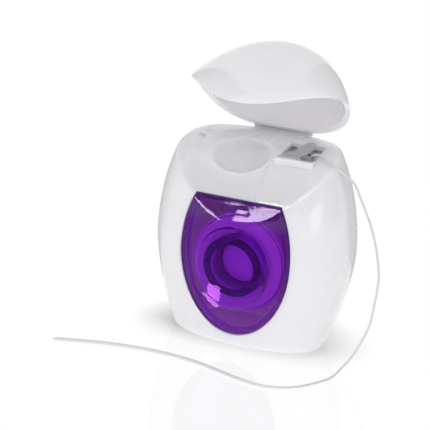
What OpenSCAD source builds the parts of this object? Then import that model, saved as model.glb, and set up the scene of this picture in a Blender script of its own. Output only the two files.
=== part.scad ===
// Dental floss dispenser: a standing barrel shaped case with a tinted front window,
// a hinged cap that stands open, a steel cutter clip, a wound spool and a free floss end.
// Millimetres. X runs to the right, -Y is the front, Z is up, the base centre is the origin.

/* [Case outline] */
// Half of the width at the widest level
half_w = 27; // [24:0.5:30]
// Height of the widest level
wide_z = 26.3; // [22:0.1:30]
// Height of the case with the cap closed
case_h = 67.2; // [62:0.1:72]
// Depth from the widest line to the front
front_d = 14.4; // [12:0.1:17]
// Depth from the widest line to the rear
rear_d = 19; // [15:0.1:20]
// Share of the width lost at the base
low_w = 0.23; // [0.1:0.01:0.35]
// Share of the depth lost at the base
low_d = 0.26; // [0.1:0.01:0.35]
// Radius of the rounding round the base
base_r = 2.5; // [1.5:0.1:4]
// Squareness of the front half of a section
front_n = 2.2; // [2:0.1:3]
// Squareness of the rear half of a section
rear_n = 2.6; // [2:0.1:4]

/* [Seam between case and cap] */
// Height of the seam at the rear
seam_z = 53.3; // [48:0.1:58]
// How far behind the widest line the slope starts
seam_from = 10; // [8:0.1:12]
// Drop of the seam at the widest line
seam_drop = 1.5; // [1:0.1:3]
// Added drop where the slope meets the front
seam_nose = 6.7; // [3:0.1:9]
// Distance from the start of the slope to that place
nose_l = 24; // [22:0.1:27]
// Gap between the cap rim and the case
seam_gap = 0.15; // [0.1:0.05:0.4]

/* [Walls] */
// Wall of the case
wall = 1.4; // [1:0.1:2]
// Wall of the cap
lid_wall = 1.3; // [1:0.1:2]
// Wall of the window
win_wall = 1.3; // [1:0.1:2]

/* [Window] */
// Half width of the window
win_a = 15.4; // [13:0.1:17]
// Height of the window's widest level
win_z = 26; // [22:0.1:30]
// From that level down to the lowest point
win_down = 22; // [18:0.1:23]
// From that level up to the full oval
win_up = 23.6; // [18:0.1:26]
// Height of the straight top edge
win_top = 40.9; // [36:0.1:44]
// Gap between window and case
win_gap = 0.12; // [0.05:0.01:0.3]
// Depth of the skirt behind the window
skirt_d = 6; // [3:0.1:8]
// Half width of the raised oval on the window
oval_a = 9.8; // [8:0.1:12]
// Half height of the raised oval on the window
oval_b = 10.9; // [9:0.1:11]
// Height of the middle of that oval
oval_z = 22.9; // [22:0.1:23]
// Height of the raised oval above the window
oval_rise = 0.7; // [0.3:0.1:1.5]
// Length of the latch slot in the slope of the window
slot_l = 8; // [6:0.1:10]
// Width of the latch slot
slot_w = 2.2; // [1.5:0.1:3]
// Depth of the latch slot
slot_d = 0.7; // [0.4:0.1:0.9]
// Height of the middle of the latch slot
slot_z = 38.2; // [37:0.1:39.5]

/* [Cap] */
// How far the cap stands open
open_deg = 57; // [30:1:90]
// Length of the hinge strap
strap_l = 16.8; // [12:0.1:22]
// Thickness of the hinge strap
strap_t = 0.5; // [0.3:0.05:0.8]

/* [Spool] */
// Height of the spool's axis
spool_z = 23.2; // [20:0.1:26]
// Radius of the axle moulded on the window
axle_r = 8.05; // [7:0.05:9]
// Bore radius of that axle
axle_bore_r = 5.9; // [5:0.1:7]
// Running clearance between axle and core
run_gap = 0.08; // [0.03:0.01:0.1]
// Wall of the spool core
core_wall = 1.2; // [0.8:0.1:2]
// Front end of the spool
spool_front = -9.6; // [-10.5:0.1:-8]
// Width of the spool
spool_w = 13; // [10:0.1:15]
// Radius of the plain inner layers of floss
pack_r = 12.4; // [11:0.1:13]

/* [Floss] */
// Diameter of the wound floss
wind_d = 0.5; // [0.4:0.05:0.7]
// Number of loops in the outer layer
loops = 13; // [8:1:16]
// Diameter of the free floss
floss_d = 0.7; // [0.5:0.05:1]
// Sideways place of the floss exit
exit_x = 14; // [12:0.1:16]
// Place of the floss exit from front to rear
exit_y = 0.6; // [-1:0.1:2]
// Radius of the exit hole
exit_r = 0.9; // [0.6:0.1:1.4]

/* [Cutter] */
// Left edge of the clip
clip_x0 = 6.6; // [6:0.1:8]
// Right edge of the clip
clip_x1 = 15.9; // [14:0.1:17]
// Front edge of the clip
clip_y0 = -3.5; // [-4:0.1:-2]
// Rear edge of the clip
clip_y1 = 6.4; // [4:0.1:8]
// Thickness of the steel
steel_t = 0.4; // [0.3:0.05:0.6]
// Lift of the cutter tongue
tongue_deg = 27; // [15:1:40]
// Length of the cutter tongue
tongue_l = 4.6; // [3:0.1:6]
// Level of the seat under the clip
seat_z = 51.2; // [50:0.1:52]

/* [Thumb scoop] */
// Sideways place of the scoop
scoop_x = -4; // [-6:0.1:0]
// Place of the scoop from front to rear
scoop_y = -2.6; // [-5:0.1:0]
// Half width of the scoop
scoop_a = 8.3; // [7:0.1:10]
// Depth of the scoop
scoop_d = 3.4; // [2:0.1:5]

/* [Hidden] */
$fn = 48;

// powers of the outline curves below and above the widest level
low_w_p = 1.55;
up_w_p = 1.99;
up_w_q = 2.24;
low_d_p = 1.56;
up_d_p = 1.4;
up_d_q = 3.3;

function sgn_pow(v, p) = v < 0 ? -pow(-v, p) : pow(v, p);
function outline(z, m, h, low, lp, up, uq) = z < wide_z
    ? m * (1 - low * pow((wide_z - z) / wide_z, lp))
    : m * pow(max(1 - pow((z - wide_z) / (h - wide_z), up), 0), 1 / uq);
function base_in(z) = z < base_r ? base_r - sqrt(base_r * base_r - (base_r - z) * (base_r - z)) : 0;
function half_x(z, g) = outline(z, half_w - g, case_h - g, low_w, low_w_p, up_w_p, up_w_q) - base_in(z);
function depth_f(z, g) = outline(z, front_d - g, case_h - g, low_d, low_d_p, up_d_p, up_d_q) - base_in(z);
function depth_r(z, g) = outline(z, rear_d - g, case_h - g, low_d, low_d_p, up_d_p, up_d_q) - base_in(z);
function ring_point(z, g, t) = sin(t) < 0
    ? [half_x(z, g) * sgn_pow(cos(t), 2 / front_n), depth_f(z, g) * sgn_pow(sin(t), 2 / front_n), z]
    : [half_x(z, g) * sgn_pow(cos(t), 2 / rear_n), depth_r(z, g) * sgn_pow(sin(t), 2 / rear_n), z];

// shape of the seam seen from the side: flat at the rear, steep at the front
function seam(y) = y > seam_from ? seam_z
    : seam_z - seam_drop * pow((seam_from - y) / seam_from, 2.4) - seam_nose * pow((seam_from - y) / nose_l, 8);

// place of the hinge line on the rear rim
hinge_z = seam_z;
hinge_y = depth_r(seam_z, 0);
// steepness of the slope at the slot
slot_tilt = atan((seam(seam_y(slot_z) + 0.2) - seam(seam_y(slot_z) - 0.2)) / 0.4);
catch_d = slot_d - 0.25;
// underside of the clip seat and axis of the window features
clip_z = seat_z + 0.02;
core_r = axle_r + run_gap;
spool_rear = spool_front + spool_w;
wind_r = (pack_r + wind_d / 2 + 0.03) / cos(7.5);
lead_x = wind_r + (wind_d + floss_d) / 2 + 0.06;
skirt_y = -front_d + skirt_d;

// levels of the rings of the outline
ring_n = 40;
function levels(g) = concat([0.001, 0.5, 1.2, 2], [for (i = [1:20]) 2 + i * (case_h - 6) / 20],
    [for (v = [2.8, 1.8, 1, 0.45, 0.15]) case_h - g - v]);
function inner_levels(g) = concat([for (i = [0:22]) g + 0.2 + i * (case_h - 5 - g) / 23],
    [for (v = [2.8, 1.8, 1, 0.45, 0.15]) case_h - g - v]);

module loft(zs, g) {
    n = ring_n;
    m = len(zs);
    pts = [for (z = zs) for (k = [0:n - 1]) ring_point(z, g, (k + 0.5) * 360 / n)];
    low = [for (k = [0:n - 1]) k];
    high = [for (k = [0:n - 1]) (m - 1) * n + n - 1 - k];
    side = [for (i = [0:m - 2]) for (k = [0:n - 1]) for (h = [0, 1])
        let (a = i * n + k, b = i * n + (k + 1) % n, c = a + n, d = b + n)
        h == 0 ? [a, c, b] : [b, c, d]];
    polyhedron(points = pts, faces = concat([low], [high], side), convexity = 6);
}

// places from front to rear at which the slope is drawn
slope_ys = [for (i = [0:29]) -front_d - 4.6 + i * (seam_from + front_d + 4.6) / 29];

// everything under the seam, lowered by g
module under_seam(g) {
    rotate([90, 0, 90])
        linear_extrude(height = 80, center = true)
            polygon(concat([[-30, -5]], [[-30, seam(slope_ys[0]) - g - 30]],
                [for (y = slope_ys) [y, seam(y) - g]], [[30, seam_z - g]], [[30, -5]]));
}

// everything over the seam, raised by g
module over_seam(g) {
    rotate([90, 0, 90])
        linear_extrude(height = 80, center = true)
            polygon(concat([[-30, 90]], [[-30, seam(slope_ys[0]) + g - 30]],
                [for (y = slope_ys) [y, seam(y) + g]], [[30, seam_z + g]], [[30, 90]]));
}

// front outline of the window, drawn in by g
function window_pts(g) = [for (i = [0:43]) let (t = i * 360 / 44)
    [(win_a - g) * cos(t), min(win_z + (sin(t) < 0 ? win_down - g : win_up - g) * sin(t), win_top - g)]];
module window_prism(g, y0, y1) {
    translate([0, y1, 0])
        rotate([90, 0, 0])
            linear_extrude(height = y1 - y0)
                polygon(window_pts(g));
}

// tube along Y on the spool's axis
module axis_tube(r_out, r_in, y0, y1) {
    translate([0, y1, spool_z])
        rotate([90, 0, 0])
            difference() {
                cylinder(r = r_out, h = y1 - y0);
                translate([0, 0, -1])
                    cylinder(r = r_in, h = y1 - y0 + 2);
            }
}

scoop_r = (scoop_a * scoop_a + scoop_d * scoop_d) / (2 * scoop_d);
scoop_c = [scoop_x, scoop_y - 0.42 * (scoop_r - scoop_d), seam(scoop_y) + 0.9 * (scoop_r - scoop_d)];
scoop_back = 4;

module scoop_ball(g) {
    intersection() {
        translate(scoop_c)
            sphere(r = scoop_r + g);
        translate([-30, -30, 30])
            cube([60, 30 + scoop_back + g, 40]);
    }
}

module seat_block() {
    translate([clip_x0 - 0.9, clip_y0 - 0.7, seat_z - 3.2])
        cube([clip_x1 - clip_x0 + 1.6, clip_y1 - clip_y0 + 2, 3.2]);
}

// the case, open at the front for the window and closed on top by the slope
module body_shell() {
    color("whitesmoke")
        difference() {
            union() {
                difference() {
                    intersection() {
                        loft(levels(0), 0);
                        under_seam(0);
                    }
                    intersection() {
                        loft(inner_levels(wall), wall);
                        under_seam(wall);
                    }
                }
                intersection() {
                    scoop_ball(wall);
                    loft(levels(0), 0);
                    under_seam(0);
                }
                seat_block();
                axis_tube(core_r + core_wall, axle_bore_r, spool_rear + 0.5, depth_r(spool_z, wall) + 0.4);
            }
            scoop_ball(0);
            window_prism(0, -30, skirt_y + 1);
            translate([clip_x0 - 0.2, clip_y0 - 0.05, seat_z])
                cube([clip_x1 - clip_x0 + 0.4, clip_y1 - clip_y0 + 0.6, 6]);
            translate([exit_x, exit_y, seat_z - 6])
                cylinder(r = exit_r, h = 8);
            translate([-18.4, 1.2, seam_z - 3])
                cube([2, 1.2, 4]);
            strap_bar(0.02);
        }
}

// the tinted window with its skirt, raised oval, latch slot and axle
module window_cover() {
    color("indigo")
        difference() {
            union() {
                difference() {
                    intersection() {
                        loft(levels(0), 0);
                        under_seam(0);
                        window_prism(win_gap, -30, skirt_y);
                    }
                    intersection() {
                        loft(inner_levels(win_wall), win_wall);
                        under_seam(win_wall);
                    }
                }
                difference() {
                    intersection() {
                        loft(levels(0), 0);
                        under_seam(win_wall / 2);
                        window_prism(win_gap, -30, skirt_y);
                    }
                    window_prism(win_gap + win_wall, -31, skirt_y + 1);
                }
                intersection() {
                    loft(levels(-oval_rise), -oval_rise);
                    translate([0, -front_d / 2 - 1, oval_z])
                        rotate([90, 0, 0])
                            linear_extrude(height = front_d)
                                polygon([for (i = [0:43]) [oval_a * cos(i * 360 / 44), oval_b * sin(i * 360 / 44)]]);
                    translate([-30, -30, 0])
                        cube([60, 30 - front_d + win_wall + 1.6, 60]);
                }
                axis_tube(axle_r, axle_bore_r, -front_d + win_wall - 0.3, spool_rear - 0.2);
            }
            slope_slot(slot_l, slot_w, slot_d);
        }
}

// slot shape in the slope of the window, sunk by d
module slope_slot(l, w, d) {
    translate([0, seam_y(slot_z), slot_z])
        rotate([slot_tilt, 0, 0])
            translate([0, 0, -d])
                linear_extrude(height = d + 1)
                    union() {
                        square([l - w, w], center = true);
                        for (k = [-1, 1])
                            translate([k * (l - w) / 2, 0])
                                circle(d = w, $fn = 24);
                    }
}

// place of the slope at a height, found by halving
function seam_y(z, a = -18, b = 5, k = 0) = k > 20 ? (a + b) / 2
    : seam((a + b) / 2) > z ? seam_y(z, a, (a + b) / 2, k + 1) : seam_y(z, (a + b) / 2, b, k + 1);

module swing() {
    translate([0, hinge_y, hinge_z])
        rotate([-open_deg, 0, 0])
            translate([0, -hinge_y, -hinge_z])
                children();
}

// the cap, drawn where it stands open
module lid_shell() {
    color("white")
        swing()
            union() {
                difference() {
                    intersection() {
                        loft(levels(0), 0);
                        over_seam(seam_gap);
                    }
                    loft(inner_levels(lid_wall), lid_wall);
                    strap_bar(0.08);
                }
                lid_catch();
            }
}

// bead on the rim of the cap that drops into the window's slot
module lid_catch() {
    intersection() {
        slope_slot(slot_l - 0.9, slot_w - 0.9, catch_d);
        loft(levels(0), 0);
    }
}

// bar on the hinge line, grown by g all round
module strap_bar(g) {
    translate([-strap_l / 2 - g, hinge_y, hinge_z])
        rotate([0, 90, 0])
            cylinder(r = strap_t / 2 + g, h = strap_l + 2 * g, $fn = 24);
}

// thin web that joins the rear rims
module hinge_strap() {
    color("gainsboro")
        strap_bar(0);
}

// outline of the tongue before it is bent up, from its bend line
module tongue_shape() {
    hull() {
        square([0.1, 6.6], center = true);
        translate([tongue_l - 2, 0.6])
            circle(r = 2, $fn = 24);
    }
}
tongue_at = [10.9, 1.7];
tongue_turn = 32;

module cutter_clip() {
    color("silver")
        union() {
            difference() {
                translate([clip_x0, clip_y0, clip_z])
                    cube([clip_x1 - clip_x0, clip_y1 - clip_y0, steel_t]);
                translate([tongue_at[0], tongue_at[1], clip_z - 1])
                    rotate([0, 0, tongue_turn])
                        linear_extrude(height = 3)
                            translate([0.4, -3.4])
                                square([tongue_l - 0.9, 6]);
            }
            translate([tongue_at[0], tongue_at[1], clip_z + 0.02])
                rotate([0, 0, tongue_turn])
                    rotate([0, -tongue_deg, 0])
                        linear_extrude(height = steel_t)
                            tongue_shape();
        }
}

module spool_core() {
    color("lavender")
        axis_tube(core_r + core_wall, core_r, spool_front, spool_rear);
}

module floss_pack() {
    color("ghostwhite")
        axis_tube(pack_r, core_r + core_wall + 0.02, spool_front + 0.1, spool_rear - 0.1);
}

// a closed tube of n sides along a list of points
function unit(v) = v / norm(v);
function along(p, i) = i == 0 ? unit(p[1] - p[0])
    : i == len(p) - 1 ? unit(p[i] - p[i - 1]) : unit(p[i + 1] - p[i - 1]);
module tube(p, d, n, up) {
    pts = [for (i = [0:len(p) - 1])
        let (t = along(p, i), u = unit(cross(t, up)), v = cross(t, u))
        for (k = [0:n - 1]) p[i] + d / 2 * (cos(k * 360 / n) * u + sin(k * 360 / n) * v)];
    side = [for (i = [0:len(p) - 2]) for (k = [0:n - 1]) for (h = [0, 1])
        let (a = i * n + k, b = i * n + (k + 1) % n, c = a + n, e = b + n)
        h == 0 ? [a, b, c] : [b, e, c]];
    low = [for (k = [0:n - 1]) n - 1 - k];
    high = [for (k = [0:n - 1]) (len(p) - 1) * n + k];
    polyhedron(points = pts, faces = concat([low], side, [high]), convexity = 10);
}

// outer layer of floss: one unbroken tube that ends where the floss runs up to the exit
wind_pitch = (spool_w - 1.4) / (loops - 1);
wind_pts = [for (i = [0:loops * 24 - 24])
    [wind_r * cos(i * 15), spool_front + 0.7 + wind_pitch * i / 24, spool_z + wind_r * sin(i * 15)]];
// least distance between points a loop or more apart, less the thickness
wind_gap = min([for (i = [0:24]) for (j = [i + 20:1:min(i + 28, len(wind_pts) - 1)])
    norm(wind_pts[i] - wind_pts[j])]) - wind_d;
echo(least_gap_between_loops = wind_gap);

module floss_winding() {
    color("white")
        tube(wind_pts, wind_d, 6, [0, 1, 0.001]);
}

// run inside the case from the spool up to the hole under the clip
lead_pts = [[lead_x, spool_rear - 0.9, spool_z + 0.8], [lead_x, spool_rear - 1, 27], [lead_x + 0.1, 2.2, 31],
    [lead_x + 0.2, 1.9, 35], [lead_x + 0.3, 1.6, 39], [exit_x - 0.1, 1.3, 43], [exit_x, 1, 46], [exit_x, 0.7, 49],
    [exit_x, exit_y, seat_z - 0.4]];
module floss_lead() {
    color("white")
        tube(lead_pts, floss_d, 8, [0, 1, 0.001]);
}

// free end, from the hole over the slope, down past the side and along the ground
tail_way = [[14, 0.6, 51.5], [14.9, 0.4, 52.4], [16.6, 0, 52.8], [19, -1.6, 52.4], [21.5, -2.8, 51.8],
    [23.8, -3.6, 50.8], [28.2, -4.7, 48.4], [30.9, -5.3, 44.2], [33.7, -5.8, 39.1], [35.8, -6.4, 34],
    [37.1, -6.9, 29.3], [37.7, -7.3, 25.3], [37.5, -7.9, 20.1], [36.8, -8.8, 13.4], [34.7, -10, 7.4],
    [33.1, -11.2, 4.1], [31.8, -12.7, 2.2], [30.9, -14.8, 0.9], [30.2, -17, 0.45], [28.9, -20, 0.4],
    [25.8, -25.4, 0.4], [22, -28.6, 0.4], [17.2, -30.1, 0.4], [11.2, -29.4, 0.4], [4, -27.3, 0.4],
    [-3.2, -25.3, 0.4], [-11, -24.4, 0.4], [-20, -24.8, 0.4], [-29, -26.6, 0.4], [-36, -29, 0.4],
    [-42, -31.2, 0.4]];
function spline(p, i, t) =
    let (a = p[max(i - 1, 0)], b = p[i], c = p[i + 1], e = p[min(i + 2, len(p) - 1)])
    0.5 * ((2 * b) + (c - a) * t + (2 * a - 5 * b + 4 * c - e) * t * t + (3 * b - a - 3 * c + e) * t * t * t);
// pieces of the spline between two points, more where the points stand further apart
function steps(i) = max(1, round(norm(tail_way[i + 1] - tail_way[i]) / 2.1));
tail_pts = concat([for (i = [0:len(tail_way) - 2]) for (k = [0:steps(i) - 1])
    spline(tail_way, i, k / steps(i))], [tail_way[len(tail_way) - 1]]);
tail_length = [for (i = 1, s = norm(tail_pts[1] - tail_pts[0]); i < len(tail_pts);
    i = i + 1, s = i < len(tail_pts) ? s + norm(tail_pts[i] - tail_pts[i - 1]) : s) s];
echo(tail_length = tail_length[len(tail_length) - 1]);

module floss_tail() {
    color("white")
        tube(tail_pts, floss_d, 8, [0.001, 0.9, 0.5]);
}

body_shell();
window_cover();
lid_shell();
hinge_strap();
cutter_clip();
spool_core();
floss_pack();
floss_winding();
floss_lead();
floss_tail();
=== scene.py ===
"""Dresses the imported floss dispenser: case, tinted window, flip cap, cutter clip, spool and floss."""

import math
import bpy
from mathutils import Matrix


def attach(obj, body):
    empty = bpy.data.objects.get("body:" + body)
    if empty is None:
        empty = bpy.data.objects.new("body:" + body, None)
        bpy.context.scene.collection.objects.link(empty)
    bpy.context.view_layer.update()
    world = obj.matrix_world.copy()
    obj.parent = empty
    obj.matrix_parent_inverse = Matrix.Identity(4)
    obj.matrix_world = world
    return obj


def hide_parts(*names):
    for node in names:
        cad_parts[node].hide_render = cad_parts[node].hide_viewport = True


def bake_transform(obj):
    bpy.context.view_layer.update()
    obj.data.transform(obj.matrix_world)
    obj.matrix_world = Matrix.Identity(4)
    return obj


bl_info = {
    "name": "Floss dispenser",
    "version": (1, 0, 0),
    "blender": (4, 5, 0),
    "location": "3D View > Sidebar > Dispenser",
    "description": "Models a flip-cap floss dispenser on its packed frame and sets its stage",
    "category": "Add Mesh",
}

import bmesh
import bpy
from bpy.props import FloatProperty, FloatVectorProperty, IntProperty, PointerProperty
from mathutils import Matrix, Vector

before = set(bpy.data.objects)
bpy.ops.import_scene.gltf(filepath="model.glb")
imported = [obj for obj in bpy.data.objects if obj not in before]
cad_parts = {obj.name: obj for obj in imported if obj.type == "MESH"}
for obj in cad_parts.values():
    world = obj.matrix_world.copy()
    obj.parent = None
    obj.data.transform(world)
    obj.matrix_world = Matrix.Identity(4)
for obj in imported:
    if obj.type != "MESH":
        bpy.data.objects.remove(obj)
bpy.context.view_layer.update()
MM = 0.001


def length(name, description, default):
    return FloatProperty(
        name=name,
        description=description,
        default=default * MM,
        unit="LENGTH",
        subtype="DISTANCE",
        precision=5,
    )


def ratio(name, description, default):
    return FloatProperty(name=name, description=description, default=default, subtype="FACTOR", min=0.0)


def turn(name, description, degrees):
    return FloatProperty(
        name=name, description=description, default=math.radians(degrees), unit="ROTATION", subtype="ANGLE"
    )


def finish_colour(name, description, default):
    return FloatVectorProperty(
        name=name, description=description, default=default, subtype="COLOR", size=3, min=0.0, max=1.0
    )


class CaseSizes(bpy.types.PropertyGroup):
    """Outline of the closed dispenser and of the seam under its cap."""

    half_width: length("Half width", "Half of the width at the widest level", 27.0)
    wide_height: length("Widest level", "Height of the widest level", 26.3)
    height: length("Height", "Height with the cap closed", 67.2)
    front_depth: length("Front depth", "From the widest line to the front", 14.4)
    rear_depth: length("Rear depth", "From the widest line to the rear", 19.0)
    width_taper: ratio("Width taper", "Share of the width lost at the base", 0.23)
    depth_taper: ratio("Depth taper", "Share of the depth lost at the base", 0.26)
    front_square: ratio("Front squareness", "Power of the front half of a section", 2.2)
    rear_square: ratio("Rear squareness", "Power of the rear half of a section", 2.6)
    base_round: length("Base rounding", "Radius round the base", 2.5)
    seam_height: length("Seam height", "Height of the seam at the rear", 53.3)
    seam_start: length("Slope start", "How far behind the widest line the slope starts", 10.0)
    seam_drop: length("Slope drop", "Drop of the seam at the widest line", 1.5)
    seam_nose: length("Nose drop", "Added drop where the slope meets the front", 6.7)
    nose_length: length("Nose length", "From the start of the slope to the nose", 24.0)
    crease_round: length("Crease rounding", "Rounding between the side and the slope", 0.8)
    wall: length("Wall", "Wall of the case", 1.4)
    scoop_half_width: length("Scoop half width", "Half width of the thumb scoop", 8.3)
    scoop_depth: length("Scoop depth", "Depth of the thumb scoop", 3.4)
    scoop_back: length("Scoop back", "Place of the scoop's rear edge", 4.0)


class WindowSizes(bpy.types.PropertyGroup):
    """Outline and wall of the tinted window."""

    half_width: length("Half width", "Half width of the window", 15.4)
    middle: length("Middle", "Height of the window's widest level", 26.0)
    down: length("Down", "From that level to the lowest point", 22.0)
    up: length("Up", "From that level to the top of the full oval", 23.6)
    top: length("Top edge", "Height of the straight top edge", 40.9)
    gap: length("Gap", "Gap between window and case", 0.12)
    wall: length("Wall", "Wall of the window", 1.3)
    skirt: length("Skirt", "Depth of the skirt behind the front", 6.0)
    oval_half_width: length("Oval half width", "Half width of the raised oval", 9.8)
    oval_half_height: length("Oval half height", "Half height of the raised oval", 10.9)
    oval_middle: length("Oval middle", "Height of the middle of the raised oval", 22.9)
    oval_rise: length("Oval rise", "Height of the raised oval", 0.7)
    slot_length: length("Slot length", "Length of the latch slot", 8.0)
    slot_width: length("Slot width", "Width of the latch slot", 2.2)
    slot_depth: length("Slot depth", "Depth of the latch slot", 0.7)
    slot_height: length("Slot height", "Height of the latch slot", 38.2)


class CapSizes(bpy.types.PropertyGroup):
    """Flip cap and its hinge."""

    wall: length("Wall", "Wall of the cap", 1.3)
    gap: length("Gap", "Gap between the rim of the cap and the case", 0.15)
    open_angle: turn("Open angle", "How far the cap stands open", 57.0)
    web_length: length("Web length", "Length of the hinge web", 16.8)
    web_thickness: length("Web thickness", "Thickness of the hinge web", 0.45)


class SpoolSizes(bpy.types.PropertyGroup):
    """Axle, spool and wound floss."""

    axis_height: length("Axis height", "Height of the spool's axis", 23.2)
    axle_radius: length("Axle radius", "Outer radius of the axle on the window", 8.05)
    axle_bore: length("Axle bore", "Bore radius of that axle", 5.9)
    post_front: length("Post front", "Front end of the post inside the axle", -6.6)
    core_radius: length("Core radius", "Outer radius of the spool core", 9.33)
    front: length("Front", "Front end of the spool", -9.6)
    width: length("Width", "Width of the spool", 13.0)
    pack_radius: length("Pack radius", "Radius of the inner layers of floss", 12.4)
    turns_radius: length("Outer layer radius", "Radius of the outer layer's middle line", 12.789)
    strand: length("Wound strand", "Thickness of the wound floss", 0.5)
    turns: IntProperty(name="Turns", description="Turns in the outer layer", default=12, min=1, max=24)


class FlossSizes(bpy.types.PropertyGroup):
    """Free end of the floss."""

    width: length("Width", "Width of the flat floss", 0.85)
    thickness: length("Thickness", "Thickness of the flat floss", 0.58)


class ClipSizes(bpy.types.PropertyGroup):
    """Steel cutter clip and its seat."""

    left: length("Left", "Left edge of the clip", 6.6)
    right: length("Right", "Right edge of the clip", 15.9)
    front: length("Front", "Front edge of the clip", -3.5)
    rear: length("Rear", "Rear edge of the clip", 6.4)
    steel: length("Steel", "Thickness of the steel", 0.4)
    seat: length("Seat", "Level of the seat under the clip", 51.2)
    tongue_length: length("Tongue length", "Length of the cutter tongue", 5.6)
    tongue_lift: turn("Tongue lift", "Lift of the cutter tongue", 30.0)
    tongue_turn: turn("Tongue direction", "Direction of the tongue from the right", 42.0)


class FinishColours(bpy.types.PropertyGroup):
    """Colours of the materials, in linear light; the two floss whites also carry painted shade and painted
    light.
    """

    case_white: finish_colour("Case", "White of the case", (0.875, 0.866, 0.897))
    cap_white: finish_colour("Cap", "White of the cap", (0.855, 0.847, 0.872))
    window_tint: finish_colour("Window tint", "Tint at each surface of the window", (0.66, 0.23, 0.93))
    window_depth: finish_colour("Window depth", "Tint in the thickness of the window", (0.42, 0.02, 0.82))
    steel: finish_colour("Steel", "Grey of the cutter clip", (0.56, 0.55, 0.55))
    # the free end is set darker than the wound floss: painted shade on the thin strand
    floss: finish_colour("Floss", "White of the free end of the floss", (0.68, 0.68, 0.71))
    # the wound floss is set lighter than the free end: painted light for the dim inside behind the window
    wound: finish_colour("Wound floss", "White of the floss on the spool", (0.88, 0.88, 0.90))
    core: finish_colour("Core", "White of the spool core", (0.86, 0.86, 0.88))
    web: finish_colour("Hinge web", "Grey of the thin hinge web", (0.84, 0.86, 0.85))


# --- outline of the closed dispenser -------------------------------------------------------------


def signed_power(value, power):
    return math.copysign(abs(value) ** power, value)


def smooth_step(value):
    value = min(max(value, 0.0), 1.0)
    return value * value * (3 - 2 * value)


def smooth_max(a, b, reach):
    share = min(max(0.5 + 0.5 * (a - b) / reach, 0.0), 1.0)
    return b + (a - b) * share + reach * share * (1 - share)


class CaseForm:
    """The barrel outline and the sloping seam, worked out from the case sizes."""

    # powers of the outline: below the widest level, towards the top, and the root at the top
    width_powers = (1.55, 1.99, 2.24)
    depth_powers = (1.56, 1.4, 3.3)
    # powers of the seam's drop along the slope and at the nose
    slope_power, nose_power = 2.4, 8
    # blend between the front and the slope, and the level above which they meet
    crease_blend, crease_lowest = 0.22 * MM, 30 * MM
    rim_lowest = 20 * MM
    # deepest place of the scoop, and the way from there to the middle of its ball
    scoop_x, scoop_y = -4 * MM, -2.6 * MM
    scoop_lean, scoop_lift, scoop_blend = -0.42, 0.9, 0.55 * MM
    # the shallow ledge round the scoop: its ends, its step, and how softly they fade
    ledge_left, ledge_right, ledge_fade = -17.5 * MM, 5.4 * MM, 1.2 * MM
    ledge_step, ledge_edge, ledge_slant = 0.28 * MM, 0.35 * MM, 0.06

    def __init__(self, sizes):
        for name in CaseSizes.__annotations__:
            setattr(self, name, getattr(sizes, name))

    def spread(self, z, widest, top, taper, powers):
        low, rise, root = powers
        if z < self.wide_height:
            return widest * (1 - taper * ((self.wide_height - z) / self.wide_height) ** low)
        share = (z - self.wide_height) / (top - self.wide_height)
        return widest * max(1 - share**rise, 0.0) ** (1 / root)

    def base_inset(self, z):
        r = self.base_round
        return r - math.sqrt(max(r * r - (r - z) ** 2, 0.0)) if z < r else 0.0

    def section(self, z, inset=0.0):
        """Half width, front depth and rear depth of the section at a height."""
        top, cut = self.height - inset, self.base_inset(z)
        return (
            self.spread(z, self.half_width - inset, top, self.width_taper, self.width_powers) - cut,
            self.spread(z, self.front_depth - inset, top, self.depth_taper, self.depth_powers) - cut,
            self.spread(z, self.rear_depth - inset, top, self.depth_taper, self.depth_powers) - cut,
        )

    def point(self, angle, z, inset=0.0):
        wide, front, rear = self.section(z, inset)
        c, s = math.cos(angle), math.sin(angle)
        power, depth = (self.front_square, front) if s < 0 else (self.rear_square, rear)
        return Vector((wide * signed_power(c, 2 / power), depth * signed_power(s, 2 / power), z))

    def seam(self, y):
        """Height of the seam at a place from front to rear."""
        if y > self.seam_start:
            return self.seam_height
        back = self.seam_start - y
        slope = self.seam_drop * (back / self.seam_start) ** self.slope_power
        return self.seam_height - slope - self.seam_nose * (back / self.nose_length) ** self.nose_power

    def slope_place(self, z):
        """Where the slope has that height, from front to rear."""
        low, high = -self.front_depth - 6 * MM, self.seam_start
        for _ in range(22):
            middle = (low + high) / 2
            low, high = (low, middle) if self.seam(middle) > z else (middle, high)
        return (low + high) / 2

    def front_face(self, x, z):
        """Place of the front surface, with the slope blended in over the crease."""
        wide, front, _ = self.section(z)
        face = -front * max(1 - abs(x / wide) ** self.front_square, 0.0) ** (1 / self.front_square)
        return smooth_max(face, self.slope_place(z), self.crease_blend) if z > self.crease_lowest else face

    def rim_height(self, angle, inset=0.0, lift=0.0):
        """Height at which the outline meets the seam raised by lift."""
        low, high = self.rim_lowest, self.seam_height + lift
        for _ in range(26):
            middle = (low + high) / 2
            above = self.seam(self.point(angle, middle, inset).y) + lift < middle
            low, high = (low, middle) if above else (middle, high)
        return (low + high) / 2

    def dish(self, x, y):
        """Height of the ball that hollows the thumb scoop."""
        a, d = self.scoop_half_width, self.scoop_depth
        radius = (a * a + d * d) / (2 * d)
        middle_y = self.scoop_y + self.scoop_lean * (radius - d)
        middle_z = self.seam(self.scoop_y) + self.scoop_lift * (radius - d)
        room = radius**2 - (x - self.scoop_x) ** 2 - (y - middle_y) ** 2
        return middle_z - math.sqrt(room) if room > 0 else middle_z

    def top_surface(self, x, y):
        """Height of the finished slope, with the ledge and the thumb scoop."""
        plain = self.seam(y)
        line = self.scoop_back - self.ledge_slant * x
        left = smooth_step((x - self.ledge_left) / self.ledge_fade)
        right = smooth_step((self.ledge_right - x) / self.ledge_fade)
        front = smooth_step((line - y) / self.ledge_edge)
        lowered = plain - self.ledge_step * left * right * front
        dished = -smooth_max(-lowered, -self.dish(x, y), self.scoop_blend)
        return plain + (dished - plain) * front


def case_form():
    return CaseForm(bpy.context.scene.floss_case)


# --- making meshes -------------------------------------------------------------------------------

WELD = 1e-7


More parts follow.
